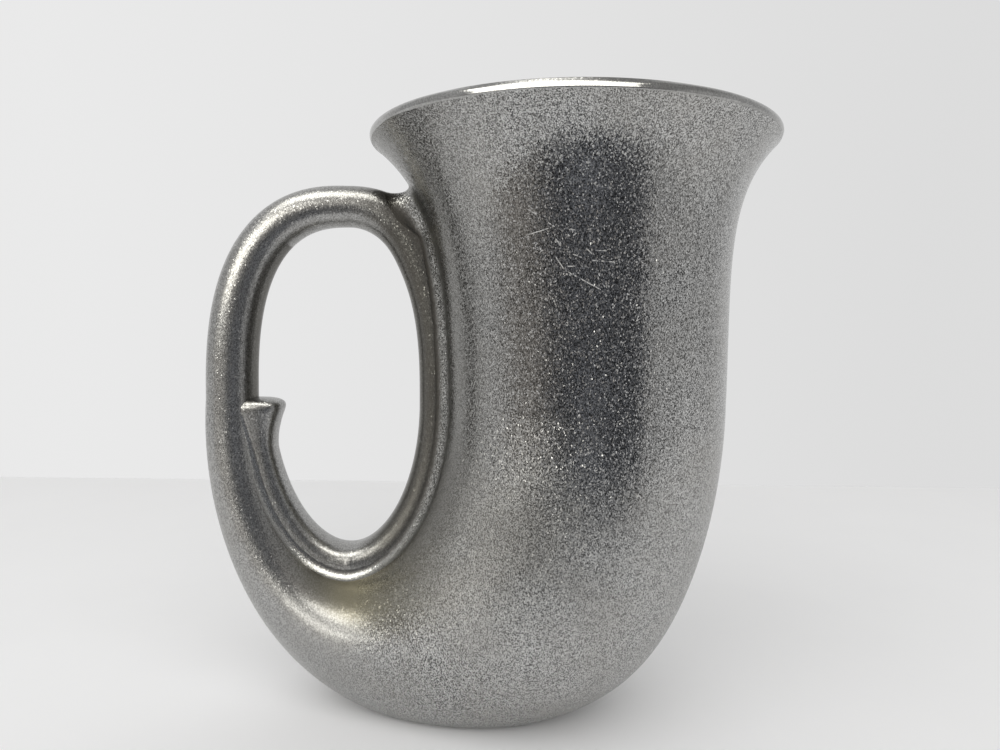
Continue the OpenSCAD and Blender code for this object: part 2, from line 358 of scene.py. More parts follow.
class Shell:
    """Rings of points with their normals and looks, which become one closed mesh."""

    def __init__(self):
        self.points = []
        self.normals = []
        # Looks of each point: grain, tarnish with painted shade, painted olive shade under the loop, and
        # painted light in the bore
        self.looks = {"grain": [], "shade_and_tarnish": [], "loop_shade": [], "polish": []}

    def add(self, points, normals, grain, shade_and_tarnish=0, loop_shade=0, polish=0):
        """Adds rings that follow on from those there are."""
        self.points.append(points - normals * INSET)
        self.normals.append(normals)
        for values, value in zip(self.looks.values(), (grain, shade_and_tarnish, loop_shade, polish)):
            values.append(np.broadcast_to(np.asarray(value, float), points.shape[:2]))

    def piece(self, name, material, loop=False):
        """Makes the mesh: flat ends, or the last ring joined to the first."""
        points = np.concatenate(self.points)
        rings, count = points.shape[:2]
        index = np.arange(rings * count).reshape(rings, count)
        following = np.roll(index, -1, axis=0) if loop else index[1:]
        current = index if loop else index[:-1]
        quads = np.stack([current, np.roll(current, -1, 1), np.roll(following, -1, 1), following], axis=-1)
        faces = quads.reshape(-1, 4).tolist()
        if not loop:
            faces += [index[0, ::-1].tolist(), index[-1].tolist()]
        mesh = bpy.data.meshes.new(name)
        mesh.from_pydata((points.reshape(-1, 3) * MM).tolist(), [], faces)
        mesh.shade_smooth()
        self.orient(mesh)
        for look, values in self.looks.items():
            attribute = mesh.attributes.new(look, "FLOAT", "POINT")
            attribute.data.foreach_set("value", np.concatenate(values).reshape(-1).astype(np.float32))
        mesh.normals_split_custom_set_from_vertices(np.concatenate(self.normals).reshape(-1, 3).tolist())
        mesh.materials.append(material)
        piece = bpy.data.objects.new(name, mesh)
        bpy.context.collection.objects.link(piece)
        return piece

    @staticmethod
    def orient(mesh):
        """Turns the faces outward if the closed mesh came out inside out."""
        solid = bmesh.new()
        solid.from_mesh(mesh)
        if solid.calc_volume(signed=True) < 0:
            mesh.flip_normals()
        solid.free()


def stand_for(piece, node):
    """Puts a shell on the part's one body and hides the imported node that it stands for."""
    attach(piece, "root")
    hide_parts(node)
    return piece


# Grain of the casting: full on the cup, less where hands and tools have smoothed it
CUP_GRAIN = 1
BORE_GRAIN = 0.5
LIP_GRAIN = 0.1
TAIL_GRAIN = 0.22
HANDLE_GRAIN = 0.42
WORN_GRAIN = 0.5
# How much brighter colour is painted into the bore, as painted light
BORE_PAINTED_LIGHT = 0.6
# Winding angles between which the grain changes along the horn
WORN_FULL = 16
SMOOTHING_START = 18
SMOOTHING_END = 104
SATIN_START = 105
SATIN_FULL = 150


def horn_grain(w):
    """Grain along the horn: roughest below the waist, smoothest at the belly's end, satin on the handle."""
    worn = CUP_GRAIN + WORN_GRAIN * eased(w, 0, WORN_FULL)
    belly = mix(worn, TAIL_GRAIN, eased(w, SMOOTHING_START, SMOOTHING_END))
    return mix(belly, HANDLE_GRAIN, eased(w, SATIN_START, SATIN_FULL))


# Painted shade with some tarnish beside the groove, out to an angle round the cup and on as far as a winding
# angle on the limb
GROOVE_SHADE_AND_TARNISH = 0.9
GROOVE_REACH = math.radians(68)
GROOVE_END = 225
# Painted shade along the tube, on the landing beside the cup and on the pipe, and the winding angles between
# which it changes
TUBE_SHADE = 0.8
PIPE_SHADE = 0.12
TUBE_SHADE_START = 262
TUBE_SHADE_FULL = 300
TUBE_SHADE_FADE = 400
# The cloud of painted dark reflection on the bend: its middle as X and Z, its turn, half sizes and strength,
# and the winding angle past the bell over which it sets in
CLOUD_MIDDLE = (13, 54.5)
CLOUD_TURN = math.radians(49)
CLOUD_LENGTH = 22
CLOUD_WIDTH = 11
REFLECTION_CLOUD_DARKNESS = 0.4
CLOUD_CLEAR_W = 12


def from_loop_side(angle):
    """Angle round a section from the side of the loop, to the front or to the back."""
    return np.abs(np.remainder(angle + math.pi, 2 * math.pi) - math.pi)


def groove_shade_and_tarnish(angle):
    """Painted shade with some tarnish round the cup, by the angle from the side of the loop."""
    return GROOVE_SHADE_AND_TARNISH * (1 - eased(from_loop_side(angle), 0, GROOVE_REACH))


# The painted olive shade and reflection under the finger loop: where it lies along the horn, and out to which
# angles round it
LOOP_SHADE_W = 86
LOOP_SHADE_REACH_W = 36
LOOP_SHADE_FULL = math.radians(44)
LOOP_SHADE_END = math.radians(70)


def belly_loop_shade(w, angle):
    """Painted olive shade and reflection on the belly under the loop, beside the groove."""
    across_horn = 1 - eased(from_loop_side(angle), LOOP_SHADE_FULL, LOOP_SHADE_END)
    return np.exp(-((w - LOOP_SHADE_W) / LOOP_SHADE_REACH_W) ** 2) * across_horn


def bend_dark_reflection(points, w):
    """A faint cloud of painted dark reflection on both sides of the bend, clear of the bell."""
    x = points[..., 0] - CLOUD_MIDDLE[0]
    z = points[..., 2] - CLOUD_MIDDLE[1]
    length = (x * math.cos(CLOUD_TURN) + z * math.sin(CLOUD_TURN)) / CLOUD_LENGTH
    width = (z * math.cos(CLOUD_TURN) - x * math.sin(CLOUD_TURN)) / CLOUD_WIDTH
    return REFLECTION_CLOUD_DARKNESS * np.exp(-length ** 2 - width ** 2) * eased(w, 0, CLOUD_CLEAR_W)


def tube_shade(w):
    """Painted shade along the tube: most beside the cup, less on round the loop."""
    rising = eased(w, TUBE_SHADE_START, TUBE_SHADE_FULL)
    fading = eased(w, TUBE_SHADE_FADE, INSIDE_LOOP)
    return rising * mix(TUBE_SHADE, PIPE_SHADE, fading)


def even_levels(radius, bottom, top, step):
    """Heights that lie about a step apart along the bell's wall."""
    fine = np.linspace(bottom, top, FINE_LEVELS)
    run = np.concatenate([[0], np.cumsum(np.hypot(np.diff(fine), np.diff(radius(fine))))])
    return np.interp(np.linspace(0, run[-1], math.ceil(run[-1] / step) + 1), run, fine)


def level_rings(x, radius, z):
    """Level circles and their centres, for columns of centre, radius and height."""
    angle = round_angles(CUP_POINTS)[None, :]
    x, radius, z, angle = np.broadcast_arrays(x[:, None], radius[:, None], z[:, None], angle)
    rings = np.stack([x - radius * np.cos(angle), radius * np.sin(angle), z], axis=-1)
    return rings, np.stack([x, 0 * x, z], axis=-1)


def wall_rings(radius, bottom, top, facing):
    """Rings of the bell's wall from the bottom up, with normals; facing is 1 outside and -1 inside."""
    z = past_ends(even_levels(radius, bottom, top, CUP_STEP), CUP_STEP / 2)
    rings, centres = level_rings(bell_x(z), radius(z), z)
    return rings[1:-1], facing * grid_normals(rings, centres)[1:-1]


# The flat that is worn on the front of the lip: where it faces, half the angle that it cuts off, how flat
# it is, the angle round the mouth of its middle and from there to its ends, and how suddenly it ends
LIP_FLAT_FACING = math.radians(27)
LIP_FLAT_HALF = math.radians(56)
LIP_FLATNESS = 0.92
LIP_FLAT_MIDDLE = math.radians(-82)
LIP_FLAT_REACH = math.radians(27)
LIP_FLAT_EDGE = 4


def lip_rings():
    """Rings round the lip, from the flare over its worn flat to the bore."""
    angle = np.radians(np.linspace(-LIP_ANGLE, 180 - LIP_ANGLE, LIP_STEPS + 1))
    around = round_angles(CUP_POINTS)[None, :]
    from_middle = np.remainder(around - LIP_FLAT_MIDDLE + math.pi, 2 * math.pi) - math.pi
    flatness = LIP_FLATNESS * np.exp(-(from_middle / LIP_FLAT_REACH) ** LIP_FLAT_EDGE)
    off = np.minimum(np.abs(angle - LIP_FLAT_FACING), LIP_FLAT_HALF)[:, None]
    bead_r = LIP_R * mix(1, np.cos(LIP_FLAT_HALF) / np.cos(off), flatness)
    radius = LIP_CENTRE_R + bead_r * np.cos(angle)[:, None]
    height = LIP_Z + bead_r * np.sin(angle)[:, None]
    facing = np.arctan2(-np.gradient(radius, angle, axis=0), np.gradient(height, angle, axis=0))
    rings = np.stack([bell_x(LIP_Z) - radius * np.cos(around), radius * np.sin(around), height], axis=-1)
    flat_out = np.cos(facing)
    normals = np.stack([-flat_out * np.cos(around), flat_out * np.sin(around), np.sin(facing)], axis=-1)
    return rings[1:-1], normals[1:-1]


def make_bell(material):
    """The flared upper cup: its outside, lip and bore."""
    shell = Shell()
    rings, normals = wall_rings(bell_r, WAIST_Z, LIP_Z - LIP_R * LIP_SIN, 1)
    # The outside carries painted shade with some tarnish on the side that faces the loop
    shell.add(rings, normals, CUP_GRAIN, groove_shade_and_tarnish(round_angles(CUP_POINTS))[None, :])
    shell.add(*lip_rings(), LIP_GRAIN)
    rings, normals = wall_rings(bell_bore_r, WAIST_Z, LIP_Z + LIP_R * LIP_COS, -1)
    # The bore gets a brighter colour painted in, as painted light
    shell.add(rings[::-1], normals[::-1], BORE_GRAIN, polish=BORE_PAINTED_LIGHT)
    return stand_for(shell.piece("bell_shell", material, loop=True), "bell")


def add_bow_outside(shell, angle):
    """Rings from the tail up to the waist, flat on the foot."""
    steps = winding_steps(0, BOW_END, CUP_STEP, out_share=2)
    w = past_ends(steps, PAST_END)[:, None]
    rings = soft_floor(horn_point(w, angle), 0, FOOT_EDGE)
    normals = grid_normals(rings, placed(w, horn_r(w), 0))
    back_w = steps[::-1, None]
    outside = rings[-2:0:-1]
    # Painted shade with some tarnish beside the groove, a painted dark reflection on the bend, and painted
    # olive shade under the loop
    shade_and_tarnish = np.maximum(groove_shade_and_tarnish(angle), bend_dark_reflection(outside, back_w))
    shell.add(outside, normals[-2:0:-1], horn_grain(back_w), shade_and_tarnish, belly_loop_shade(back_w, angle))


def add_bow_inside(shell, angle):
    """Rings from the waist down to the rounded tip of the hollow, closer together there."""
    share = np.linspace(0, 1, CAVITY_RINGS)
    steps = CAVITY_END * (1 - (1 - share) ** CAVITY_CROWD)
    w = np.concatenate([[-PAST_END], steps])[:, None]
    drawn_in = np.sqrt(1 - progress(w, CAVITY_END - CAVITY_TIP, CAVITY_END) ** 2 * CAVITY_BLUNT)
    inner_r = (horn_r(w) - WALL) * drawn_in
    rings = placed(w, horn_r(w) - inner_r * np.cos(angle), inner_r * np.sin(angle))
    rings = soft_floor(rings, FLOOR_T, FLOOR_EDGE)
    normals = -grid_normals(rings, placed(w, horn_r(w), 0))
    # The bore gets a brighter colour painted in, as painted light
    shell.add(rings[1:], normals[1:], BORE_GRAIN, polish=BORE_PAINTED_LIGHT)


def make_bow(material):
    """The hollow lower bend on its flat foot."""
    angle = round_angles(CUP_POINTS)[None, :]
    shell = Shell()
    add_bow_outside(shell, angle)
    add_bow_inside(shell, angle)
    return stand_for(shell.piece("bow_shell", material), "bow")


def coped_point(w, angle):
    """Point of the handle's tube, cut off just inside the cup's face."""
    out, y = tube_section(w, angle)
    touching = w > LANDING_START
    out = np.where(touching, np.minimum(out, cup_face(w, y) + SINK), out)
    return placed(w, out, y)


def make_tube(name, node, steps, material):
    """A length of the handle or of the pipe between winding angles."""
    angle = round_angles(TUBE_POINTS)[None, :]
    w = np.minimum(past_ends(steps, PAST_END), HORN_END)[:, None]
    rings = coped_point(w, angle)
    normals = grid_normals(rings, placed(w, tube_r(w) - rise(w), 0))
    shell = Shell()
    # Painted shade with some tarnish beside the groove on the limb, painted shade along the tube beside the
    # cup, and painted olive shade under the loop
    shade_and_tarnish = np.where(w < GROOVE_END, groove_shade_and_tarnish(angle), tube_shade(w))[1:-1]
    shell.add(rings[1:-1], normals[1:-1], horn_grain(steps)[:, None], shade_and_tarnish, belly_loop_shade(w[1:-1], angle))
    return stand_for(shell.piece(name, material), node)


def make_handle(material):
    """Tail, crook, lead pipe and mouthpiece, which has closer rings at its round edge."""
    tail = make_tube("tail_shell", "tail", winding_steps(BOW_END, TAIL_END, TUBE_STEP), material)
    crook = make_tube("crook_shell", "crook", winding_steps(TAIL_END, CROOK_END, TUBE_STEP), material)
    pipe = make_tube("pipe_shell", "lead_pipe", winding_steps(CROOK_END, PIPE_END, TUBE_STEP), material)
    share = 1 - (1 - np.linspace(0, 1, MOUTHPIECE_RINGS)) ** MOUTHPIECE_CROWD
    mouthpiece = make_tube("mouthpiece_shell", "mouthpiece", mix(PIPE_END, HORN_END, share), material)
    return tail, crook, pipe, mouthpiece


# The fillet's legs on the cup and on the tube, in the notch over the landing, and at its end
CUP_LEG = 2.8
TUBE_LEG = 1.9
NOTCH_CUP_LEG = 9
NOTCH_TUBE_LEG = 12
END_LEG = 0.6
# Lengths along the line from the notch over which its wide legs narrow
CUP_LEG_FADE = 34
TUBE_LEG_FADE = 8
# Winding angle at which the fillet ends, and how far before the pipe's end its legs start to narrow
FILLET_END = 537
END_LEG_FADE = 4
# Section angle, from the loop's side, at which the line changes from the landing to the pipe's side,
# the winding angles between which it crosses the landing, and the least section angle beside the pipe
LANDING_ANGLE = 118
LANDING_LIMITS = (285.0, 335.0)
BESIDE_LEAST = math.pi / 3
# Fineness of the fillet: points over the landing, length of a step, points across it, parts of a walk
# and halvings of a search
LANDING_POINTS = 60
FILLET_STEP = 0.4
FILLET_POINTS = 15
WALK_STEPS = 6
LINE_HALVINGS = 30
# The glittering line down the middle of the fillet: half its width, its grain and the grain beside it,
# and the winding angles between which it ends; the fillet is broader where it glitters
GLITTER_HALF = 1.5
FILLET_GRAIN = 1
FILLET_SMOOTH = 0.2
GLITTER_END = 365
GLITTER_GONE = 420
BROAD = 1.6
# Painted shade along the fillet's edges, and how deep its hidden back lies
FILLET_EDGE_SHADE = 0.92
FILLET_DEPTH = 0.5


def halve(low, high, is_past):
    """Finds by halving where a test turns true between two limits."""
    for _ in range(LINE_HALVINGS):
        middle = (low + high) / 2
        past = is_past(middle)
        high = np.where(past, middle, high)
        low = np.where(past, low, middle)
    return (low + high) / 2


def corner_line():
    """Winding and section angles of the line where the tube meets the cup, from the notch on."""
    def sunk(w, angle):
        out, y = tube_section(w, angle)
        return out > cup_face(w, y)

    landing = np.radians(np.linspace(180, LANDING_ANGLE, LANDING_POINTS))
    low, high = (np.full(LANDING_POINTS, limit) for limit in LANDING_LIMITS)
    landing_w = halve(low, high, lambda w: sunk(w, landing))
    w = np.concatenate([landing_w, winding_steps(landing_w[-1], FILLET_END, FILLET_STEP)[1:]])
    low, high = np.full(w.shape, BESIDE_LEAST), np.full(w.shape, math.pi)
    beside = halve(low, high, lambda angle: sunk(w, angle))
    angle = np.concatenate([landing, beside[len(landing):]])
    return w, angle


def slopes(point, u, v):
    """How a surface's point moves with each parameter."""
    du, dv = 1e-3, 1e-5
    along = (point(u + du, v) - point(u - du, v)) / (2 * du)
    around = (point(u, v + dv) - point(u, v - dv)) / (2 * dv)
    return along, around


def turned_to(normals, reference):
    """Turns normals to the side of a reference."""
    return normals * np.sign(dot(normals, reference))[..., None]


def walked(point, u, v, step):
    """Point of a surface, and its normal, after a step that is taken in small parts."""
    for _ in range(WALK_STEPS):
        along, around = slopes(point, u, v)
        aa, ab, bb = dot(along, along), dot(along, around), dot(around, around)
        sa, sb = dot(along, step) / WALK_STEPS, dot(around, step) / WALK_STEPS
        det = aa * bb - ab * ab
        u, v = u + (sa * bb - sb * ab) / det, v + (sb * aa - sa * ab) / det
    return point(u, v), unit(np.cross(*slopes(point, u, v)))


def cup_at(corner, w):
    """The cup's surface under a corner: its function and the corner's parameters on it."""
    beside_bell = w < BESIDE_CUP
    z = corner[:, 2]
    bell_angle = np.arctan2(corner[:, 1], bell_x(z) - corner[:, 0])
    r = horn_r(w - BESIDE_CUP)
    horn_angle = np.arcsin(np.clip(corner[:, 1] / r, -1, 1))
    u = np.where(beside_bell, z, w - BESIDE_CUP)
    v = np.where(beside_bell, bell_angle, horn_angle)

    def point(u, v):
        on_horn = horn_point(np.where(beside_bell, 0, u), v)
        on_bell = bell_point(np.where(beside_bell, u, WAIST_Z), v)
        return np.where(beside_bell[:, None], on_bell, on_horn)

    return point, u, v


def fillet_leg(w, run, full, notch, fade):
    """Leg of the fillet: wide in the notch, narrower beside the pipe, and least at the mouthpiece."""
    beside = full * mix(1, SHANK_RISE / PIPE_RISE, progress(w, BESIDE_CUP, HORN_END))
    beside *= mix(BROAD, 1, eased(w, GLITTER_END, GLITTER_GONE))
    leg = mix(notch, beside, eased(run, 0, fade))
    return mix(leg, END_LEG, eased(w, PIPE_END - END_LEG_FADE, FILLET_END))[:, None]


def meeting(start, start_normal, end, end_normal, corner):
    """Where lines on two faces, from two points towards a corner, come nearest to each other."""
    def heading(place, normal):
        towards_corner = corner - place
        return unit(towards_corner - dot(towards_corner, normal)[:, None] * normal)

    first, second = heading(start, start_normal), heading(end, end_normal)
    gap = end - start
    lean = dot(first, second)
    share = 1 - lean ** 2
    along_first = (dot(gap, first) - lean * dot(gap, second)) / share
    along_second = (lean * dot(gap, first) - dot(gap, second)) / share
    return (start + first * along_first[:, None] + end + second * along_second[:, None]) / 2


def hollow_face(cup_toe, tube_toe, crest, t):
    """A round hollow between two faces; a sharper corner draws it in less."""
    opening = np.arccos(dot(unit(cup_toe - crest), unit(tube_toe - crest)))
    pull = 2 * t * (1 - t) * np.sin(opening / 2)[:, None, None]
    face = (1 - t) ** 2 * cup_toe[:, None] + pull * crest[:, None] + t ** 2 * tube_toe[:, None]
    return face / ((1 - t) ** 2 + pull + t ** 2)


def fillet_looks(w, t, width, back_points):
    """Grain and painted shade across the fillet, with none on its hidden back."""
    middle = np.exp(-((t[:, :, 0] - 0.5) * width / GLITTER_HALF) ** 2)
    glitter = 1 - eased(w, GLITTER_END, GLITTER_GONE)[:, None]
    hidden = np.zeros((len(w), back_points))
    grain = np.concatenate([mix(FILLET_SMOOTH, FILLET_GRAIN, middle * glitter), hidden], axis=1)
    shade_and_tarnish = np.concatenate([mix(FILLET_EDGE_SHADE, 0, middle), hidden], axis=1)
    return grain, shade_and_tarnish


def fillet_toes(w, angle, corner):
    """The fillet's edges on the cup and the tube, the normals there, and the way out of the corner."""
    cup_point, u, v = cup_at(corner, w)
    line = unit(np.gradient(corner, axis=0))
    inside_tube = placed(w, tube_r(w) - rise(w), 0)
    inside_horn = placed(w, horn_r(w - BESIDE_CUP), 0)
    inside_cup = np.where((w < BESIDE_CUP)[:, None], [WAIST_X, 0, WAIST_Z], inside_horn)
    tube_normal = turned_to(unit(np.cross(*slopes(tube_point, w, angle))), corner - inside_tube)
    cup_normal = turned_to(unit(np.cross(*slopes(cup_point, u, v))), corner - inside_cup)

    def away(normal, other):
        """Way along one face, off the other."""
        return turned_to(unit(np.cross(normal, line)), other)

    run = np.concatenate([[0], np.cumsum(np.linalg.norm(np.diff(corner, axis=0), axis=-1))])
    cup_leg = fillet_leg(w, run, CUP_LEG, NOTCH_CUP_LEG, CUP_LEG_FADE)
    tube_leg = fillet_leg(w, run, TUBE_LEG, NOTCH_TUBE_LEG, TUBE_LEG_FADE)
    cup_toe, cup_toe_normal = walked(cup_point, u, v, cup_leg * away(cup_normal, tube_normal))
    tube_toe, tube_toe_normal = walked(tube_point, w, angle, tube_leg * away(tube_normal, cup_normal))
    cup_toe_normal = turned_to(cup_toe_normal, cup_normal)
    tube_toe_normal = turned_to(tube_toe_normal, tube_normal)
    return cup_toe, cup_toe_normal, tube_toe, tube_toe_normal, unit(cup_normal + tube_normal)


def make_fillet(side, name, node, material):
    """The rough hollow run between the tube and the cup: side is -1 in front and 1 behind."""
    w, angle = corner_line()
    corner = tube_point(w, angle)
    cup_toe, cup_normal, tube_toe, tube_normal, outward = fillet_toes(w, angle, corner)
    t = np.linspace(0, 1, FILLET_POINTS)[None, :, None]
    face = hollow_face(cup_toe, tube_toe, meeting(cup_toe, cup_normal, tube_toe, tube_normal, corner), t)
    open_side = (cup_toe + tube_toe)[:, None] / 2 - corner[:, None]
    normals = turned_to(unit(np.cross(np.gradient(face, axis=0), np.gradient(face, axis=1))), open_side)
    normals[:, 0] = cup_normal
    normals[:, -1] = tube_normal
    back = np.stack([
        tube_toe - tube_normal * FILLET_DEPTH,
        corner - outward * FILLET_DEPTH,
        cup_toe - cup_normal * FILLET_DEPTH,
    ], axis=1)
    back_normals = np.stack([tube_normal, -outward, cup_normal], axis=1)

    mirrored = np.array([1, side, 1])
    width = np.linalg.norm(cup_toe - tube_toe, axis=-1)[:, None]
    shell = Shell()
    # The fillet carries painted shade along its edges, where the hollow meets the tube and the cup
    shell.add(np.concatenate([face, back], axis=1) * mirrored,
              np.concatenate([normals, back_normals], axis=1) * mirrored,
              *fillet_looks(w, t, width, back.shape[1]))
    return stand_for(shell.piece(name, material), node)


class Graph:
    """Adds shader nodes with their inputs by name."""

    def __init__(self, owner):
        owner.use_nodes = True
        self.tree = owner.node_tree
        self.tree.nodes.clear()

    def add(self, kind, inputs=None, **settings):
        node = self.tree.nodes.new("ShaderNode" + kind)
        for name, value in settings.items():
            setattr(node, name, value)
        for name, value in (inputs or {}).items():
            socket = node.inputs[name]
            if isinstance(value, bpy.types.NodeSocket):
                self.tree.links.new(value, socket)
            else:
                socket.default_value = value
        return node

    def noise(self, coords, scale, detail=2.0, roughness=0.5):
        """Noise whose features are about 1 / scale metres wide."""
        inputs = {"Vector": coords, "Scale": scale, "Detail": detail, "Roughness": roughness}
        return self.add("TexNoise", inputs).outputs["Fac"]

    def spread(self, value, low, high, to_low=0.0, to_high=1.0, smooth=False):
        """Maps a range onto another, held at its ends."""
        node = self.add("MapRange", {0: value, 1: low, 2: high, 3: to_low, 4: to_high})
        node.interpolation_type = "SMOOTHSTEP" if smooth else "LINEAR"
        return node.outputs[0]

    def math(self, operation, a, b=0.0):
        return self.add("Math", {0: a, 1: b}, operation=operation).outputs[0]

    def vector(self, operation, a, b=(0, 0, 0), result="Vector"):
        """Vector arithmetic; a number comes out as "Value"."""
        return self.add("VectorMath", {0: a, 1: b}, operation=operation).outputs[result]

    def scaled(self, vector, factor):
        return self.add("VectorMath", {0: vector, 3: factor}, operation="SCALE").outputs[0]

    def part(self, vector, axis):
        return self.add("SeparateXYZ", {0: vector}).outputs[axis]

    def look(self, name):
        """A look that the shells carry."""
        return self.add("Attribute", attribute_name=name).outputs["Fac"]

    def mix(self, factor, a, b):
        return self.add("Mix", {0: factor, 6: a, 7: b}, data_type="RGBA").outputs[2]

    def bump(self, height, distance, strength, normal=None):
        inputs = {"Height": height, "Distance": distance, "Strength": strength}
        if normal is not None:
            inputs["Normal"] = normal
        return self.add("Bump", inputs).outputs["Normal"]


# Widths of the casting's texture, in features a metre, and the heights of its bumps
SPECKLE_SCALE = 4600
FLAKE_SCALE = 4600
GRAIN_DRAW = (1.0, 1.0, 0.7)
PIT_SCALE = 620
WAVE_SCALE = 210
SWELL_SCALE = 55
PIT_HEIGHT = 0.05 * MM
WAVE_HEIGHT = 0.05 * MM
SWELL_HEIGHT = 0.25 * MM
BUMP_STRENGTH = 0.6
# The grain's dark and bright colours, and its roughness, on the casting and on the rough fillet, whose
# brighter colours paint in the light it catches from above
CAST_DARK = (0.05, 0.05, 0.05, 1)
CAST_LIGHT = (0.71, 0.71, 0.70, 1)
CAST_ROUGHNESS = (0.14, 0.34)
FILLET_SHEEN_DARK = (0.20, 0.20, 0.19, 1)
FILLET_SHEEN_LIGHT = (0.88, 0.88, 0.86, 1)
ROUGH_ROUGHNESS = (0.14, 0.30)
# The ranges of noise that make the speckle and the tones, and the least contrast where the grain is smoothed
SPECKLE_RANGE = (0.36, 0.64)
TONE_RANGE = (0.48, 1.52)
LEAST_CONTRAST = 0.2
# Slow clouds of a duller colour
DULL = (0.36, 0.345, 0.32, 1)
DULL_RANGE = (0.35, 0.7)
DULL_STRENGTH = 0.35
# The darker colour of tarnish and painted shade, how far and between which shares of openness
# it gathers as painted shade in hollows, and between which heights it fades towards the table
TARNISH_AND_SHADE_COLOUR = (0.10, 0.095, 0.082, 1)
HOLLOW_REACH = 14 * MM
HOLLOW_OPENNESS = (0.35, 0.95)
HOLLOW_SHADE_AND_TARNISH = 0.7
HOLLOW_HEIGHTS = (6 * MM, 24 * MM)
# The brighter colour painted inside the cup, standing in for light that reaches it
PAINTED_BORE_COLOUR = (0.74, 0.74, 0.73, 1)
# How far the flakes of the grain lean, on the casting and on the rough fillet, and how much more rare ones do
FLAKE_LEAN = 0.13
ROUGH_LEAN = 0.6
GLINT_LEAN = 0.9
GLINT_RARITY = 7
# Roughness on the lip and where the casting is smoothed, and what is added to roughness and brightness
# where it is worn most
LIP_ROUGHNESS = 0.15
SATIN_ROUGHNESS = 0.29
WORN_ROUGHNESS = 0.26
WORN_BRIGHT = 0.13
# The painted olive shade below the finger loop: its strength and colour
LOOP_SHADE_STRENGTH = 0.8
LOOP_SHADE_OLIVE = (0.31, 0.28, 0.185, 1)
# Scratches on the front of the bell, from where to where as X and Z in millimetres, and half their width
SCRATCHES = (
    (14.8, 122.6, 20.0, 119.2), (14.5, 117.6, 18.8, 118.8),
    (20.4, 116.7, 21.4, 115.4), (20.6, 113.0, 22.0, 111.0),
    (22.7, 110.3, 23.9, 109.6), (24.5, 109.3, 29.8, 106.5),
    (28.1, 112.4, 32.5, 112.1), (23.0, 111.2, 25.9, 111.2),
    (23.4, 118.6, 25.2, 118.3), (23.8, 117.2, 24.4, 117.8),
    (26.7, 114.8, 28.0, 113.6), (28.8, 114.4, 30.7, 114.4),
    (29.3, 108.8, 30.8, 107.0), (24.1, 113.6, 25.7, 113.0),
)
SCRATCH_HALF_WIDTH = 0.17
SCRATCH_BRIGHT = (0.9, 0.9, 0.88, 1)
SCRATCH_ROUGHNESS = 0.65
# The noise that breaks the scratches up, and the least grain where they show
SCRATCH_BREAK_SCALE = 900
SCRATCH_BREAKS = (0.36, 0.5)
SCRATCH_GRAIN = 0.85


def leaning_flakes(graph, flakes, draw, normal, strength, least):
    """Tilts the normal by a random amount in each flake of the grain."""
    way = graph.vector("SUBTRACT", flakes.outputs["Color"], (0.5, 0.5, 0.5))
    rare = graph.math("MULTIPLY", graph.math("POWER", draw, GLINT_RARITY), GLINT_LEAN)
    amount = graph.math("MULTIPLY", graph.math("ADD", rare, least), strength)
    return graph.vector("NORMALIZE", graph.vector("ADD", normal, graph.scaled(way, amount)))


def scratches(graph, coords, grain):
    """1 on a few thin broken lines on the front of the bell, 0 elsewhere."""
    place = graph.vector("MULTIPLY", coords, (1 / MM, 0, 1 / MM))
    nearest = 1.0
    for x, z, end_x, end_z in SCRATCHES:
        run = Vector((end_x - x, 0, end_z - z))
        offset = graph.vector("SUBTRACT", place, (x, 0, z))
        along = graph.vector("DOT_PRODUCT", offset, run.normalized(), "Value")
        along = graph.math("MINIMUM", graph.math("MAXIMUM", along, 0.0), run.length)
        away = graph.vector("DISTANCE", offset, graph.scaled(run.normalized(), along), "Value")
        nearest = graph.math("MINIMUM", nearest, away)
    line = graph.spread(nearest, SCRATCH_HALF_WIDTH / 2, SCRATCH_HALF_WIDTH, 1, 0)
    broken = graph.spread(graph.noise(coords, SCRATCH_BREAK_SCALE, detail=1.0), *SCRATCH_BREAKS)
    in_front = graph.math("LESS_THAN", graph.part(coords, "Y"), 0)
    outside = graph.math("MULTIPLY", in_front, graph.math("GREATER_THAN", grain, SCRATCH_GRAIN))
    return graph.math("MULTIPLY", graph.math("MULTIPLY", line, broken), outside)


def grain_tone(graph, drawn, draw, strength, worn):
    """How bright each speckle of the grain is, from 0 to 1."""
    speckle = graph.spread(graph.noise(drawn, SPECKLE_SCALE, detail=1.0), *SPECKLE_RANGE)
    contrast = graph.spread(strength, 0, CUP_GRAIN, LEAST_CONTRAST, 1.0)
    tone = graph.spread(graph.math("ADD", speckle, draw), *TONE_RANGE)
    tone = graph.math("ADD", 0.5, graph.math("MULTIPLY", graph.math("SUBTRACT", tone, 0.5), contrast))
    return graph.math("ADD", tone, graph.math("MULTIPLY", worn, WORN_BRIGHT))


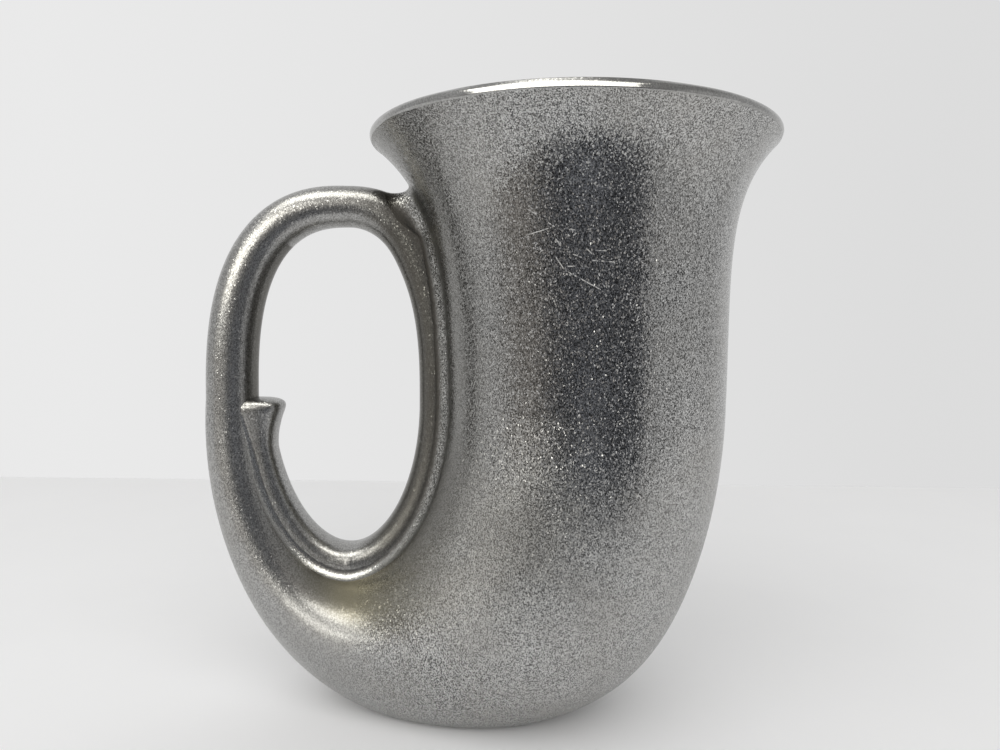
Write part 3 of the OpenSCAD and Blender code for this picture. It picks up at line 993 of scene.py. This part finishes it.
def aged_with_painted_light(graph, coords, colour):
    """A colour with dull clouds, tarnish with painted shade in hollows and beside the groove and tube,
    painted olive shade below the loop, and painted light in the bore.
    """
    cloud = graph.noise(coords, SWELL_SCALE, detail=4.0, roughness=0.6)
    colour = graph.mix(graph.spread(cloud, *DULL_RANGE, 0.0, DULL_STRENGTH), colour, DULL)
    # Painted shade in hollows, found by ambient occlusion, with some tarnish, faded out near the table
    openness = graph.add("AmbientOcclusion", {"Distance": HOLLOW_REACH}, samples=4).outputs["AO"]
    hollow = graph.spread(openness, *HOLLOW_OPENNESS, HOLLOW_SHADE_AND_TARNISH, 0)
    hollow = graph.math("MULTIPLY", hollow, graph.spread(graph.part(coords, "Z"), *HOLLOW_HEIGHTS))
    colour = graph.mix(graph.math("MAXIMUM", hollow, graph.look("shade_and_tarnish")), colour, TARNISH_AND_SHADE_COLOUR)
    # Painted olive shade and reflection under the finger loop
    colour = graph.mix(graph.math("MULTIPLY", graph.look("loop_shade"), LOOP_SHADE_STRENGTH), colour, LOOP_SHADE_OLIVE)
    # Painted light in the bore
    return graph.mix(graph.look("polish"), colour, PAINTED_BORE_COLOUR)


def grain_gloss(graph, draw, strength, worn, roughness):
    """Roughness, which varies by flakes in the grain but not where it is smoothed."""
    gloss = graph.spread(graph.math("POWER", draw, 2.0), 0, 1, *roughness)
    grainy = graph.spread(strength, HANDLE_GRAIN, CUP_GRAIN)
    satin = graph.spread(strength, LIP_GRAIN, TAIL_GRAIN, LIP_ROUGHNESS, SATIN_ROUGHNESS)
    gloss = graph.math("ADD", satin, graph.math("MULTIPLY", grainy, graph.math("SUBTRACT", gloss, satin)))
    return graph.math("ADD", gloss, graph.math("MULTIPLY", worn, WORN_ROUGHNESS))


def cast_bumps(graph, coords, strength):
    """Normal of the casting's slow waves and fine pits."""
    normal = graph.bump(graph.noise(coords, SWELL_SCALE, detail=1.0), SWELL_HEIGHT, BUMP_STRENGTH)
    normal = graph.bump(graph.noise(coords, WAVE_SCALE, detail=1.0), WAVE_HEIGHT, BUMP_STRENGTH, normal)
    return graph.bump(graph.noise(coords, PIT_SCALE, detail=2.0, roughness=0.6), PIT_HEIGHT, strength, normal)


def cast_metal(name, dark, light, roughness, lean):
    """Satin cast metal: speckled grain with glinting flakes, pits, slow waves, scratches, tarnish with
    painted shade, and painted light in the bore.
    """
    material = bpy.data.materials.new(name)
    graph = Graph(material)
    coords = graph.add("TexCoord").outputs["Object"]
    drawn = graph.add("Mapping", {"Vector": coords, "Scale": GRAIN_DRAW}).outputs[0]
    strength = graph.look("grain")
    worn = graph.spread(strength, CUP_GRAIN, CUP_GRAIN + WORN_GRAIN)
    flakes = graph.add("TexVoronoi", {"Vector": drawn, "Scale": FLAKE_SCALE})
    draw = graph.add("TexWhiteNoise", {"Vector": flakes.outputs["Position"]}).outputs["Value"]
    scratch = scratches(graph, coords, strength)

    colour = graph.mix(grain_tone(graph, drawn, draw, strength, worn), dark, light)
    colour = graph.mix(scratch, aged_with_painted_light(graph, coords, colour), SCRATCH_BRIGHT)
    gloss = grain_gloss(graph, draw, strength, worn, roughness)
    gloss = graph.math("MAXIMUM", gloss, graph.math("MULTIPLY", scratch, SCRATCH_ROUGHNESS))
    normal = leaning_flakes(graph, flakes, draw, cast_bumps(graph, coords, strength), strength, lean)
    shader = graph.add("BsdfPrincipled", {
        "Base Color": colour, "Metallic": 1.0, "Roughness": gloss, "Normal": normal,
    })
    graph.add("OutputMaterial", {"Surface": shader.outputs[0]})
    return material


# Brightness of the room that the metal reflects, by direction
SIDES = (0.56, 0.56, 0.56, 1)
BACKDROP = (0.90, 0.90, 0.90, 1)
CEILING = (0.36, 0.36, 0.36, 1)
BROWN_FRONT = (0.38, 0.36, 0.34, 1)
# Where the last three lie: azimuth, elevation, and the angles between which each fades
BACKDROP_ZONE = (180, 5, 35, 75)
CEILING_ZONE = (40, 50, 25, 50)
FRONT_ZONE = (-15, -5, 40, 65)
# What the camera sees behind the table, left and right, and between which directions it changes
PALE_LEFT = (0.82, 0.82, 0.82, 1)
PALE_RIGHT = (0.72, 0.72, 0.72, 1)
PALE_RANGE = (-0.5, 0.5)


def towards(azimuth, elevation):
    """Direction from the part: azimuth 0 is the front, and 90 is +X."""
    a, e = math.radians(azimuth), math.radians(elevation)
    return Vector((math.sin(a) * math.cos(e), -math.cos(a) * math.cos(e), math.sin(e)))


def make_world():
    """A pale room, dim above and in front; behind, the camera and reflections see a pale backdrop."""
    world = bpy.data.worlds.new("room")
    bpy.context.scene.world = world
    graph = Graph(world)
    direction = graph.add("TexCoord").outputs["Generated"]

    def zone(azimuth, elevation, inner, outer):
        """1 within inner degrees of a direction, 0 beyond outer degrees."""
        nearness = graph.vector("DOT_PRODUCT", direction, towards(azimuth, elevation), "Value")
        limits = math.cos(math.radians(outer)), math.cos(math.radians(inner))
        return graph.spread(nearness, *limits, smooth=True)

    behind = zone(*BACKDROP_ZONE)
    room = graph.mix(behind, SIDES, BACKDROP)
    room = graph.mix(zone(*CEILING_ZONE), room, CEILING)
    room = graph.mix(zone(*FRONT_ZONE), room, BROWN_FRONT)
    pale = graph.mix(graph.spread(graph.part(direction, "X"), *PALE_RANGE), PALE_LEFT, PALE_RIGHT)
    path = graph.add("LightPath").outputs
    mirrored = graph.math("MAXIMUM", path["Is Glossy Ray"], path["Is Transmission Ray"])
    seen = graph.math("MAXIMUM", path["Is Camera Ray"], graph.math("MULTIPLY", mirrored, behind))
    colour = graph.mix(seen, room, pale)
    background = graph.add("Background", {"Color": colour, "Strength": 1.0})
    graph.add("OutputWorld", {"Surface": background.outputs[0]})


WARM_LIGHT = (1.0, 0.985, 0.92)
WHITE_LIGHT = (1.0, 1.0, 1.0)
LAMP_DISTANCE = 1.2
# The lamps: azimuth, elevation, half angles across and up, radiance and colour
WINDOW = (-40, 17, (17, 17), 3.6, WARM_LIGHT)
SKYLIGHT = (-20, 63, (32, 13), 3.6, WARM_LIGHT)
KEY = (-10, 37, (45, 40), 1.28, WHITE_LIGHT)


def make_lamp(name, azimuth, elevation, half_angles, radiance, colour):
    """A soft rectangular lamp that faces the middle of the part."""
    aim = Vector((0, 0, HEIGHT / 2 * MM))
    lamp = bpy.data.lights.new(name, "AREA")
    lamp.shape = "RECTANGLE"
    lamp.size, lamp.size_y = (2 * LAMP_DISTANCE * math.tan(math.radians(angle)) for angle in half_angles)
    lamp.energy = radiance * math.pi * lamp.size * lamp.size_y
    lamp.color = colour
    piece = bpy.data.objects.new(name, lamp)
    piece.location = aim + towards(azimuth, elevation) * LAMP_DISTANCE
    piece.rotation_euler = (aim - piece.location).to_track_quat("-Z", "Y").to_euler()
    bpy.context.collection.objects.link(piece)
    return piece


def light_only(lamp, name, pieces):
    """Lets a lamp light only the given pieces, as if blinds kept it off the others."""
    lit = bpy.data.collections.new(name)
    for piece in pieces:
        lit.objects.link(piece)
    lamp.light_linking.receiver_collection = lit


def make_lamps(beside_window, under_skylight):
    """A window, a skylight, and a soft key for the table that the metal doesn't mirror."""
    light_only(make_lamp("window", *WINDOW), "beside_window", beside_window)
    light_only(make_lamp("skylight", *SKYLIGHT), "under_skylight", under_skylight)
    make_lamp("key", *KEY).visible_glossy = False


# A dark card behind the camera that glows for reflections only, painting the dark reflection of the room in
# front: its outline as X and Z, its place along Y, its shades in the middle and at the left, and between
# which X they change
CARD_OUTLINE = (
    (-0.13, -0.15), (0.20, -0.15), (0.20, 0.135),
    (-0.45, 0.135), (-0.45, 0.075), (-0.13, 0.075),
)
CARD_Y = -0.215
CARD_DARK = (0.109, 0.114, 0.127, 1)
CARD_DIM = (0.25, 0.24, 0.23, 1)
CARD_FADE = (-0.15, -0.04)
# A paler patch low on the card: its middle, the radii between which it fades, and its gain
PATCH_MIDDLE = (0.030, CARD_Y, 0.025)
PATCH_FADE = (0.015, 0.050)
PATCH_GAIN = 1.5
# Slow mottle in the card's painted glow: features a metre, and the range of noise and of brightness
GLOW_MOTTLE_SCALE = 30
GLOW_MOTTLE_RANGE = (0.3, 0.7, 0.8, 1.2)


def dark_reflection_glow():
    """A dark glow that paints the room's reflection, darkest in the middle, with a paler patch low down."""
    material = bpy.data.materials.new("dark_reflection_glow")
    graph = Graph(material)
    coords = graph.add("TexCoord").outputs["Object"]
    shade = graph.spread(graph.part(coords, "X"), *CARD_FADE, smooth=True)
    colour = graph.mix(shade, CARD_DIM, CARD_DARK)
    glow_mottle = graph.spread(graph.noise(coords, GLOW_MOTTLE_SCALE, detail=2.0), *GLOW_MOTTLE_RANGE)
    away = graph.vector("DISTANCE", coords, PATCH_MIDDLE, "Value")
    patch = graph.math("ADD", 1.0, graph.spread(away, *PATCH_FADE, PATCH_GAIN, 0))
    # Emission that paints the dark reflection; the card is no lamp
    shader = graph.add("Emission", {"Color": colour, "Strength": graph.math("MULTIPLY", glow_mottle, patch)})
    graph.add("OutputMaterial", {"Surface": shader.outputs[0]})
    return material


def make_card():
    """The glowing dark card, which only reflections see: a painted dark reflection."""
    mesh = bpy.data.meshes.new("dark_card")
    mesh.from_pydata([(x, CARD_Y, z) for x, z in CARD_OUTLINE], [], [range(len(CARD_OUTLINE))])
    mesh.materials.append(dark_reflection_glow())
    card = bpy.data.objects.new("dark_card", mesh)
    bpy.context.collection.objects.link(card)
    card.visible_camera = False
    card.visible_diffuse = False
    card.visible_shadow = False


# The table: its back edge shows as the seam behind the tankard, its front edge lies below the picture
TABLE_BACK = 0.249
TABLE_FRONT = -0.144
TABLE_SIDE = 0.9
# Its paper: the two tones of the mottle, features a metre of mottle and fibres, and the fibres' height
PAPER_DARK = (0.86, 0.86, 0.86, 1)
PAPER_LIGHT = (0.89, 0.89, 0.89, 1)
PAPER_ROUGHNESS = 0.8
MOTTLE_SCALE = 18
FIBRE_SCALE = 900
FIBRE_HEIGHT = 0.02 * MM
FIBRE_STRENGTH = 0.3


def table_paper():
    """Pale matt paper with a faint mottle."""
    material = bpy.data.materials.new("table_paper")
    graph = Graph(material)
    coords = graph.add("TexCoord").outputs["Object"]
    mottle = graph.noise(coords, MOTTLE_SCALE, detail=4.0, roughness=0.6)
    colour = graph.mix(mottle, PAPER_DARK, PAPER_LIGHT)
    fibre = graph.bump(graph.noise(coords, FIBRE_SCALE, detail=2.0), FIBRE_HEIGHT, FIBRE_STRENGTH)
    shader = graph.add("BsdfPrincipled", {
        "Base Color": colour, "Roughness": PAPER_ROUGHNESS, "Normal": fibre,
    })
    graph.add("OutputMaterial", {"Surface": shader.outputs[0]})
    return material


def make_table():
    """The table top under the foot."""
    corners = [(-TABLE_SIDE, TABLE_FRONT, 0), (TABLE_SIDE, TABLE_FRONT, 0),
               (TABLE_SIDE, TABLE_BACK, 0), (-TABLE_SIDE, TABLE_BACK, 0)]
    mesh = bpy.data.meshes.new("table")
    mesh.from_pydata(corners, [], [(0, 1, 2, 3)])
    mesh.materials.append(table_paper())
    table = bpy.data.objects.new("table", mesh)
    bpy.context.collection.objects.link(table)


# The camera, in millimetres and degrees, and its focal length in pixels of a picture of the given width
CAMERA_PLACE = (9.3, -186.5, 100.6)
CAMERA_PITCH = -4.57
CAMERA_ROLL = 0.65
FOCAL_PIXELS = 725
PICTURE_W = 1000
SENSOR_W = 36
NEAREST_SEEN = 0.01


def make_camera():
    """The photograph's camera."""
    camera = bpy.data.cameras.new("camera")
    camera.sensor_width = SENSOR_W
    camera.lens = SENSOR_W * FOCAL_PIXELS / PICTURE_W
    camera.clip_start = NEAREST_SEEN
    piece = bpy.data.objects.new("camera", camera)
    pitch = Matrix.Rotation(math.radians(90 + CAMERA_PITCH), 4, "X")
    roll = Matrix.Rotation(math.radians(CAMERA_ROLL), 4, "Z")
    piece.matrix_world = Matrix.Translation(Vector(CAMERA_PLACE) * MM) @ (pitch @ roll)
    bpy.context.collection.objects.link(piece)
    bpy.context.scene.camera = piece


make_camera()
metal = cast_metal("cast_metal", CAST_DARK, CAST_LIGHT, CAST_ROUGHNESS, FLAKE_LEAN)
# The fillets' brighter colours are a painted highlight on a rougher casting
rough_sheen_metal = cast_metal("rough_sheen_metal", FILLET_SHEEN_DARK, FILLET_SHEEN_LIGHT, ROUGH_ROUGHNESS, ROUGH_LEAN)
bell = make_bell(metal)
bow = make_bow(metal)
tail, *upper_handle = make_handle(metal)
fillets = [
    make_fillet(-1, "front_fillet_run", "front_fillet", rough_sheen_metal),
    make_fillet(1, "rear_fillet_run", "rear_fillet", rough_sheen_metal),
]
make_table()
make_world()
make_card()
make_lamps([bow, tail, *upper_handle], [bell, *upper_handle, *fillets])
bpy.context.scene.view_settings.view_transform = "Standard"
